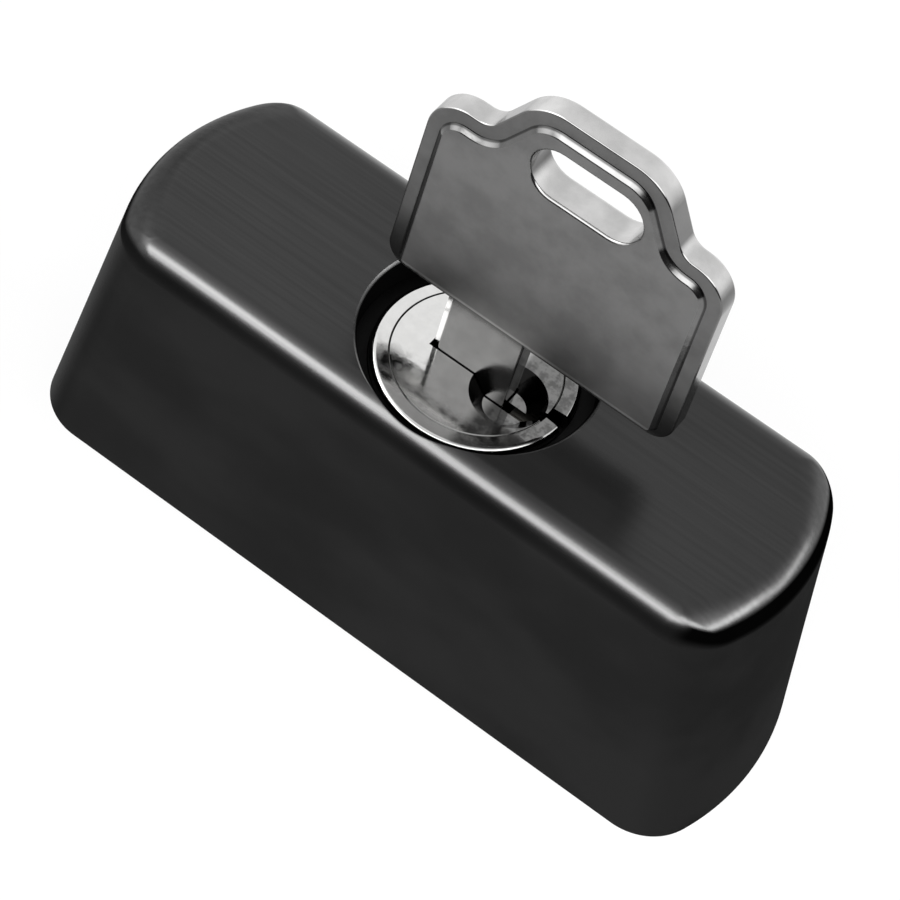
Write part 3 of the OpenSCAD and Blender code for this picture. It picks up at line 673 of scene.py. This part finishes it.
def metal(kind):
    c, g = metals[kind], metalGrain

    def build(m):
        patch = m.noise(m.stretch(m.place(), c["lined"]), c["scale"], g["detail"],
                        g["noiseRoughness"])
        return {"Base Color": m.grey(patch.rise(*g["span"], *g["tone"]) * c["level"], c["tint"]),
                "Metallic": 1.0,
                "Roughness": patch.rise(*g["span"], c["roughness"] - g["smoother"],
                                        c["roughness"] + g["rougher"]),
                "Normal": m.bump(patch, g["bump"])}
    return build


finishes = {
    "black die-cast paint": (blackPaint, ["case_shell"]),
    "polished nickel": (polishedNickel, ["plug", "barrel", "barrel_rim"]),
    "cast nickel": (castNickel, ["key_body"]),
    "black acetal": (blackAcetal, ["guide_bush"]),
    "zinc plate": (metal("zincPlate"), ["base_plate"]),
    "turned steel": (metal("turnedSteel"), ["bolt", "guide_pin", "cam_pin",
                                            "plug_retaining_pin"]),
    "screw steel": (metal("screwSteel"), ["base_plate_screws", "bolt_screw"]),
    "spring steel": (metal("springSteel"), ["return_spring", "wafer_springs"]),
    "brass": (metal("brass"), ["latch"]),
    "nickel silver": (metal("nickelSilver"), [f"wafer_{i}" for i in range(1, 6)]),
}


def dress(name, build, users):
    finish = bpy.data.materials.new(name)
    m = Maker(finish)
    m.node("ShaderNodeOutputMaterial", None,
           {"Surface": m.node("ShaderNodeBsdfPrincipled", None, build(m))})
    for user in users:  # made pieces and nodes of the frame alike
        mesh = bpy.data.objects[user].data
        mesh.materials.clear()
        mesh.materials.append(finish)


for name, (build, users) in finishes.items():
    dress(name, build, users)
print("finishes on")


floorLook = dict(z=-9.6, size=4000, sides=48, middle=0.1, grey=0.95, glow=0.85)


def makeFloor():
    f = floorLook
    floor = loft("floor", [circle(f["size"] / 2 * share, f["z"], f["sides"])
                           for share in (1.0, f["middle"])], firstLid=False)
    if floor.data.polygons[0].normal.z < 0:
        floor.data.flip_normals()
    finish = bpy.data.materials.new("pale floor")
    m = Maker(finish)
    rays = m.node("ShaderNodeLightPath")
    seen = rays.other("Is Camera Ray").most(rays.other("Is Glossy Ray")).most(
        rays.other("Is Transmission Ray"))
    matt = m.node("ShaderNodeBsdfDiffuse", None, {"Color": (f["grey"], f["grey"], f["grey"], 1)})
    white = m.node("ShaderNodeEmission", None, {"Color": (1, 1, 1, 1), "Strength": 1.0})
    m.node("ShaderNodeOutputMaterial", None,
           {"Surface": m.node("ShaderNodeMixShader", None,
                              {0: seen * f["glow"], 1: matt, 2: white})})
    floor.data.materials.append(finish)
    return floor


# what metal and paint reflect from each side, with pairs as in the finishes
studio = dict(ambient=0.32, behindY=(-0.05, 0.35), back=(0.35, 0.75, 1.0, 0.85),
              left=(0.3, 0.9, 0.05, 1.8), aboveZ=(0.45, 0.60), ahead=1.7, zenith=0.6,
              zenithZ=(0.84, 0.94))


def makeWorld():
    s = studio
    world = bpy.data.worlds.new("studio")
    bpy.context.scene.world = world
    m = Maker(world)
    rays = m.node("ShaderNodeLightPath")
    camera = rays.other("Is Camera Ray")
    seen = rays.other("Is Glossy Ray").most(rays.other("Is Transmission Ray"))
    x, y, z = m.parts(m.node("ShaderNodeTexCoord", give="Generated"))
    above = z.rise(*s["aboveZ"]) * blend(s["ahead"], s["zenith"], z.rise(*s["zenithZ"]))
    ahead = (-x).rise(*s["left"]) + above
    behind = y.rise(*s["behindY"])
    sky = behind * z.rise(*s["back"]) + (1 - behind) * ahead
    strength = camera + (1 - camera) * (seen * sky + (1 - seen) * s["ambient"])
    m.node("ShaderNodeOutputWorld", None,
           {"Surface": m.node("ShaderNodeBackground", None,
                              {"Color": (1, 1, 1, 1), "Strength": strength})})


# angles in degrees, sizes in metres, and each lamp's share of the full radiance
strips = {
    "strip front": dict(azimuth=-108, elevation=44, length=0.31, width=0.24, share=1.0),
    "strip middle": dict(azimuth=-68, elevation=45, length=0.31, width=0.24, share=1.0),
    "strip corner": dict(azimuth=-27, elevation=43, length=0.31, width=0.17, share=1.0),
    "strip right": dict(azimuth=10, elevation=32, length=0.29, width=0.12, share=1.4),
    "strip end": dict(azimuth=37, elevation=21, length=0.24, width=0.10, share=0.8),
}
lamps = dict(radiance=8.2, distance=0.6, aimHeight=0.02)


def makeLamp(name, lit, azimuth, elevation, length, width, share):
    a, e = radians(azimuth), radians(elevation)
    lamp = bpy.data.lights.new(name, "AREA")
    lamp.shape = "RECTANGLE"
    lamp.size = length
    lamp.size_y = width
    lamp.energy = lamps["radiance"] * share * pi * lamp.size * lamp.size_y
    holder = link(name, lamp)
    away = Vector((cos(a) * cos(e), sin(a) * cos(e), sin(e)))
    along = Vector((-sin(a), cos(a), 0))
    turn = Matrix((along, away.cross(along), away)).transposed()
    stand = away * lamps["distance"] + Vector((0, 0, lamps["aimHeight"]))
    holder.matrix_world = Matrix.Translation(stand) @ turn.to_4x4()
    holder.visible_camera = False
    holder.light_linking.receiver_collection = lit


floor = makeFloor()
makeWorld()
stripLit = bpy.data.collections.new("lit by the strips")  # polished faces would mirror them
for piece in (caseShell, floor):
    stripLit.objects.link(piece)
for name, strip in strips.items():
    makeLamp(name, stripLit, **strip)
bpy.context.scene.view_settings.view_transform = "Standard"
print("studio ready")
